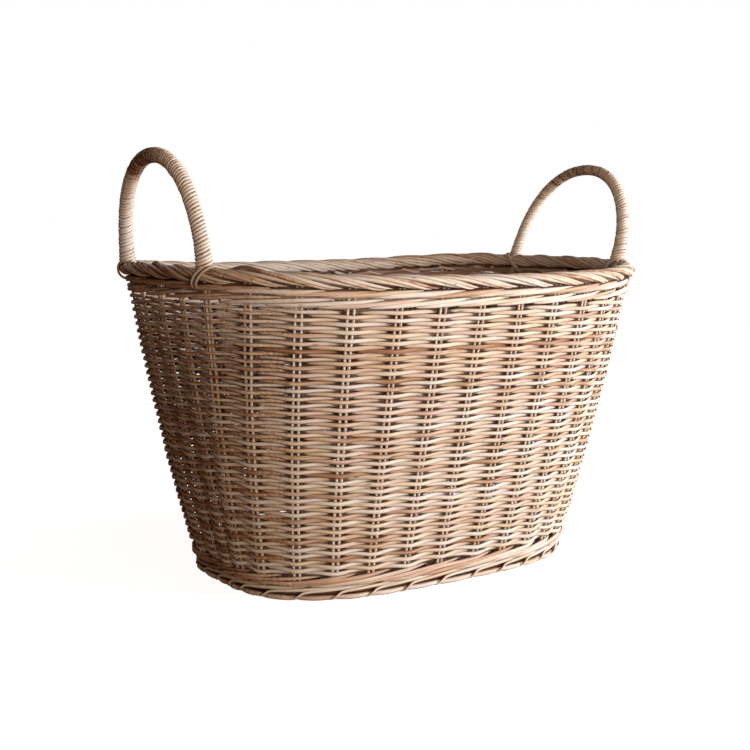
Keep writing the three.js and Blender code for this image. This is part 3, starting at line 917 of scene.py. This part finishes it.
random = seeded(610)
sticks = []
count, thick = base["stickSteps"], base["stickRadius"]
for i in (-1, 0, 1):
    half = base["spineLength"] / 2 + thick
    x = middleX + np.linspace(-half, half, count)
    line = np.stack([x, 0 * x + i * base["spineSpacing"], 0 * x + base["height"]], axis=1)
    sticks.append(cane(line, upward, thick, thick, 10, pickTone(random, 0.35, 0.1)))
for spoke in range(0, spokePlaces, 2):
    line = spokePoint(np.full(count, spoke), np.linspace(0, 1, count))
    radius = np.linspace(thick, thick * 0.85, count)
    sticks.append(cane(line, upward, radius, radius, 10, pickTone(random, 0.35, 0.1)))
for middle in np.linspace(-base["bindingFrom"], base["bindingFrom"], base["bindings"]):
    turn = np.linspace(0, fullTurn * base["bindingTurns"], 24 * base["bindingTurns"] + 1)
    x = middleX + middle + base["bindingPitch"] * (turn / fullTurn - base["bindingTurns"] / 2)
    y = np.cos(turn) * (base["spineSpacing"] + thick + base["bindingOut"])
    z = base["height"] + np.clip(np.sin(turn) * 2.2, -1, 1) * (thick + base["bindingUp"])
    line, around = np.stack([x, y, z], axis=1), turned(np.array([0.0, 1.0, 0.0]), turn)
    sticks.append(cane(line, around, *base["bindingHalves"], 6, pickTone(random, 0.4, 0.1)))
for number in range(1, base["innerRounds"] + 1):
    sticks.append(baseWeaver(-number, random))
layPiece("base_spokes", sticks, "stake_cane", "base_sticks")
print("basket: base woven")

# Bow handles: a bent rod whose legs go down through the border, wound with cane from foot to foot
bow = {
    "height": 0.104,
    "power": 2.14,
    "coreRadius": 0.0046,
    "coreFrom": (0.3115, 0.3220),  # heights of the core's legs in the border
    "coreInset": 0.004,  # where the core goes on from there, along the arch
    "taper": (0.3140, 0.3080),  # heights between which a leg thins into its tail
    "taperLength": 0.0080,
    "tail": (0.3040, 0.2290),
    "tailRadius": 0.0018,
    "canes": 4,  # wound side by side
    "turns": 24,
    "stepsPerTurn": 20,
    "inset": 0.0003,  # of the winding, at both ends
    # half round, with the flat side on the core: how far along, in widths, and how high
    "profile": ((-0.49, 0.0), (-0.45, 0.5), (-0.22, 0.93), (0.08, 1.0), (0.36, 0.72), (0.49, 0.0)),
    "under": 0.0050,
    "crown": 0.0071,
    "footSwell": 0.0011,  # the winding is thicker where it meets the border
    "swellLength": 0.016,
    "sunk": 0.0125,  # how far it goes down into the border
    "unevenness": 0.00017,
    "turnsInLength": (5, 14),  # a new length of cane begins every so many turns
    "lengthSpread": 0.13,  # how much the tone varies from length to length and from turn to turn
    "turnSpread": 0.06,
}
handles = {
    # thicker and furrows go from the back foot over the top to the front foot; brown, a painted
    # shade that darkens the winding over the top, is where, how far and how much
    "right": {"end": 1, "lean": 17.0, "feet": ("right_back", "right_front"), "seed": 700,
              "thicker": (-0.0009, -0.0010, 0.0010), "furrows": (0.30, 0.25, 0.40),
              "brown": (0.46, 0.20, 0.40), "tone": 0.31},
    "left": {"end": -1, "lean": 5.5, "feet": ("left_back", "left_front"), "seed": 710,
             "thicker": (0.0002, 0.0005, 0.0004), "furrows": (0.15, 0.7, 1.0),
             "brown": (0.43, 0.15, 0.78), "tone": 0.27},
}


def pointAt(line, wanted):
    lengths = lengthsOf(line)
    return np.stack([np.interp(wanted, lengths, line[:, i]) for i in range(3)], axis=-1)


def bowLeg(foot, heights):
    return onWall(bowPairs[foot], heights)[0]


# From the back foot over to the front foot
def bowArch(handle):
    back, front = (bowLeg(foot, [basket["height"]])[0] for foot in handle["feet"])
    turn = np.linspace(0, math.pi, 1201)
    c, s = np.cos(turn), np.sin(turn)
    reach = (np.abs(c) ** bow["power"] + np.abs(s) ** bow["power"]) ** (-1 / bow["power"])
    line = (back + front) / 2 + (back - front) / 2 * (reach * c)[:, None]
    rise = bow["height"] * reach * s
    line[:, 0] += handle["end"] * rise * math.tan(math.radians(handle["lean"]))
    line[:, 2] += rise
    return line


# One cane of the winding
def windingCane(handle, arch, flat, which, random):
    length = lengthsOf(arch)[-1]
    first, last = bow["inset"], length - bow["inset"]
    width = (last - first) / (bow["turns"] * bow["canes"] + 1)
    index = np.arange(bow["turns"] * bow["stepsPerTurn"] + 1)
    turns = index / bow["stepsPerTurn"]
    turn = -turns * fullTurn
    climb = (last - first - width * bow["canes"]) * turns / bow["turns"]
    middle = first + width * (which + 0.5) + climb
    slip = wander(turns, random.normal(0, bow["unevenness"], bow["turns"] + 2))
    fromFoot = (np.minimum(middle, length - middle) - bow["sunk"]) / bow["swellLength"]
    proud = wander(turns, random.normal(0, bow["unevenness"] * 0.8, bow["turns"] + 2))
    proud += bow["footSwell"] * np.exp(-fromFoot ** 2)
    along = middle / length
    legs = (0, 0.5, 1)
    proud += np.interp(along, legs, handle["thicker"])
    furrows = np.interp(along, legs, handle["furrows"])
    shifts, crowns = (np.array(values) for values in zip(*bow["profile"]))
    rings = []
    for shift, crown in bow["profile"]:
        level = np.clip(middle + slip + shift * width, 0, length)
        ahead = unit(pointAt(arch, level + 0.0005) - pointAt(arch, level - 0.0005))
        sideways = unit(np.cross(ahead, flat))
        height = (bow["crown"] - bow["under"] + proud) * (1 - (1 - crown) * furrows)
        radius = bow["under"] + height
        rings.append(pointAt(arch, level) + sideways * (np.cos(turn) * radius)[:, None]
                     + flat * (np.sin(turn) * radius)[:, None])
    fibre = np.zeros((len(index), len(crowns), 3))
    fibre[..., 0] = (turns * 0.041)[:, None]
    fibre[..., 1] = crowns * 0.001
    fibre[..., 2] = shifts * width
    tones, at = np.zeros(len(index)), 0
    while at < len(index):
        span = int(random.integers(*bow["turnsInLength"])) * bow["stepsPerTurn"]
        tones[at:at + span] = pickTone(random, handle["tone"], bow["lengthSpread"])
        at += span
    tones += wander(turns, random.normal(0, bow["turnSpread"], bow["turns"] + 2))
    # painted shade: the winding is browner over the top of the handle
    middleOfBrown, width, amount = handle["brown"]
    tones += amount * np.exp(-((along - middleOfBrown) / width) ** 2)
    # painted shade, with some dirt, in the furrows between the turns
    crevice = furrows[:, None] * (1 - crowns)
    return strandOf(np.stack(rings, axis=1), fibre, crevice, tones[:, None], True)


for side, handle in handles.items():
    random = seeded(handle["seed"])
    arch = bowArch(handle)
    flat = np.cross(arch[600] - arch[0], arch[-1] - arch[0])
    flat *= handle["end"] * np.sign(flat[0]) / np.linalg.norm(flat)
    backFoot, frontFoot = handle["feet"]
    leg = np.linspace(*bow["coreFrom"], 4)
    over = pointAt(arch, np.linspace(bow["coreInset"], lengthsOf(arch)[-1] - bow["coreInset"], 60))
    line = np.concatenate([bowLeg(backFoot, leg), over, bowLeg(frontFoot, leg[::-1])])
    rods = [cane(line, flat, bow["coreRadius"], bow["coreRadius"], 12, 0.4)]
    for footName in handle["feet"]:
        depth = np.concatenate([np.linspace(*bow["taper"], 5), np.linspace(*bow["tail"], 12)])
        radius = bow["coreRadius"] * (1 - (bow["taper"][0] - depth) / bow["taperLength"])
        radius = np.maximum(radius, bow["tailRadius"])
        outwards = np.array([handle["end"], 0.0, 0.0])
        rods.append(cane(bowLeg(footName, depth), outwards, radius, radius, 8, 0.3))
    layPiece(f"{side}_handle_rod", rods, "stake_cane", f"{side}_handle_core")
    dip = np.linspace(basket["height"] - bow["sunk"], basket["height"] - 0.0002, 8)
    wound = np.concatenate([bowLeg(backFoot, dip), arch, bowLeg(frontFoot, dip[::-1])])
    winding = [windingCane(handle, wound, flat, which, random) for which in range(bow["canes"])]
    layPiece(f"{side}_handle_winding", winding, "binding_cane", f"{side}_handle_binding")
print("basket: handles wound")

# Ties: strands that start at a handle's foot, slant over the border and tuck in below it
ties = {
    "tones": (0.22, 0.66, 0.22),  # one for each strand
    "darkerLeft": 0.14,
    "radius": 0.00135,
    "flatness": 0.85,
    "turn": (-115, 235),  # degrees round the border
    "steps": 45,
    "squareness": 0.9,
    "spacing": 0.0022,
    "fanning": 0.3,  # wider apart on the outside than on the inside
    "slant": 0.0085,  # to each side along the rim, from the top to the underside
    "middle": 0.3146,
    "halfHeight": 0.0087,
    "halfWidth": 0.0102,
}
for number, (name, pair) in enumerate(bowPairs.items()):
    random = seeded(800 + number)
    end = 1 if name.startswith("right") else -1
    way = -end * (-1 if name.endswith("back") else 1)
    turn = np.radians(np.linspace(*ties["turn"], ties["steps"]))
    spacing = pairSpacing(pair, np.full(turn.shape, ties["middle"]))
    strands = []
    for i, tone in enumerate(ties["tones"]):
        shift = (i - (len(ties["tones"]) - 1) / 2) * ties["spacing"]
        along = way * ties["slant"] * np.sin(turn) + shift * (1 + ties["fanning"] * np.cos(turn))
        proud = ties["radius"] * (0.8 + random.uniform(-0.15, 0.25))
        outward = signedPower(np.cos(turn), ties["squareness"]) * (ties["halfWidth"] + proud)
        rise = signedPower(np.sin(turn), ties["squareness"]) * (ties["halfHeight"] + proud)
        line, facing = onWall(pair + along / spacing, ties["middle"], outward)
        line[:, 2] += rise
        tone += (ties["darkerLeft"] if end < 0 else 0) + random.normal(0, 0.04)
        deep, high = ties["radius"] * ties["flatness"], ties["radius"]
        strands.append(cane(line, turned(facing, turn), deep, high, 8, tone))
    layPiece(f"{name}_tie", strands, "binding_cane", f"{name}_lashing")
print("basket: handles tied")

# Floor, light and camera
floorLook = {
    # glowNear, below glowFar, paints a soft shadow on the floor round the basket
    "color": 0.30, "roughness": 0.9, "glowNear": 0.93, "glowFar": 1.0,
    "nearRadius": 0.30, "farRadius": 1.10,
}


# The paper glows, so that it stays white far from the window, and glows a little less near the
# basket, a painted soft shadow round it; the lamps' soft shadow still shows on it
def makeFloor():
    bpy.ops.mesh.primitive_plane_add(size=24, location=(0, 0, 0))
    floor = bpy.context.object
    floor.name = "floor"
    paper = bpy.data.materials.new("paleFloor")
    paper.use_nodes = True
    nodes = paper.node_tree.nodes
    distance = nodes.new("ShaderNodeVectorMath")
    distance.operation = "LENGTH"
    feed(distance, {0: nodes.new("ShaderNodeTexCoord").outputs["Object"]})
    glow = feed(nodes.new("ShaderNodeMapRange"), {
        0: distance.outputs["Value"], 1: floorLook["nearRadius"], 2: floorLook["farRadius"],
        3: floorLook["glowNear"], 4: floorLook["glowFar"],
    })
    feed(nodes["Principled BSDF"], {
        "Base Color": (floorLook["color"],) * 3 + (1,), "Roughness": floorLook["roughness"],
        "Specular IOR Level": 0.0, "Emission Color": glow.outputs[0], "Emission Strength": 1.0,
    })
    floor.data.materials.append(paper)
    floor.visible_diffuse = False
    floor.visible_glossy = False


# A low window to the right, a weak light in front and one behind, and a faint warm light all round
lights = {
    "window": {"azimuth": 52, "elevation": 9, "distance": 1.75, "width": 1.5, "height": 0.6,
               "power": 45.5, "color": (0.96, 1.02, 1.11)},
    "room": {"azimuth": -8, "elevation": 6, "distance": 2.2, "width": 1.6, "height": 0.9,
             "power": 29.5, "color": (1.0, 0.86, 0.72)},
    "behind": {"azimuth": 172, "elevation": 24, "distance": 2.2, "width": 1.8, "height": 0.9,
               "power": 12, "color": (1.0, 0.95, 0.90)},
}
surroundings = {"color": (1.0, 0.50, 0.28), "strength": 0.085}


def towards(azimuth, elevation):
    a, e = math.radians(azimuth), math.radians(elevation)
    return Vector((math.sin(a) * math.cos(e), -math.cos(a) * math.cos(e), math.sin(e)))


def makeLights():
    for name, light in lights.items():
        data = bpy.data.lights.new(name, "AREA")
        data.shape = "RECTANGLE"
        data.size, data.size_y = light["width"], light["height"]
        data.energy = light["power"]
        data.color = light["color"]
        lamp = addObject(name, data)
        direction = towards(light["azimuth"], light["elevation"])
        lamp.location = Vector((middleX, 0, 0.2)) + direction * light["distance"]
        lamp.rotation_mode = "QUATERNION"
        lamp.rotation_quaternion = direction.to_track_quat("Z", "Y")
    world = bpy.data.worlds.new("studio")
    bpy.context.scene.world = world
    world.use_nodes = True
    nodes = world.node_tree.nodes
    backdrop = feed(nodes["Background"], {"Color": (1, 1, 1, 1)})
    around = feed(nodes.new("ShaderNodeBackground"), {
        "Color": (*surroundings["color"], 1), "Strength": surroundings["strength"],
    })
    either = feed(nodes.new("ShaderNodeMixShader"), {
        0: nodes.new("ShaderNodeLightPath").outputs["Is Camera Ray"],
        1: around.outputs[0], 2: backdrop.outputs[0],
    })
    feed(nodes["World Output"], {"Surface": either.outputs[0]})


view = {
    "azimuth": -34.537,
    "elevation": 7.438,
    "distance": 1.36038,
    "target": (-0.02136, 0.0, 0.20093),
    "lens": 59.63,
    "roll": 0.4707,
}


def makeCamera():
    back = towards(view["azimuth"], view["elevation"])
    right = (-back).cross(Vector((0, 0, 1))).normalized()
    above = right.cross(-back)
    roll = math.radians(view["roll"])
    rolledRight = right * math.cos(roll) + above * math.sin(roll)
    rolledUp = -right * math.sin(roll) + above * math.cos(roll)
    data = bpy.data.cameras.new("camera")
    data.lens = view["lens"]
    data.sensor_width = 36
    data.clip_start, data.clip_end = 0.05, 60
    camera = addObject("camera", data)
    place = Vector(view["target"]) + back * view["distance"]
    rotation = Matrix((rolledRight, rolledUp, back)).transposed().to_4x4()
    camera.matrix_world = Matrix.Translation(place) @ rotation
    bpy.context.scene.camera = camera


makeFloor()
makeLights()
makeCamera()
bpy.context.scene.view_settings.view_transform = "Standard"
print("basket: stage set")
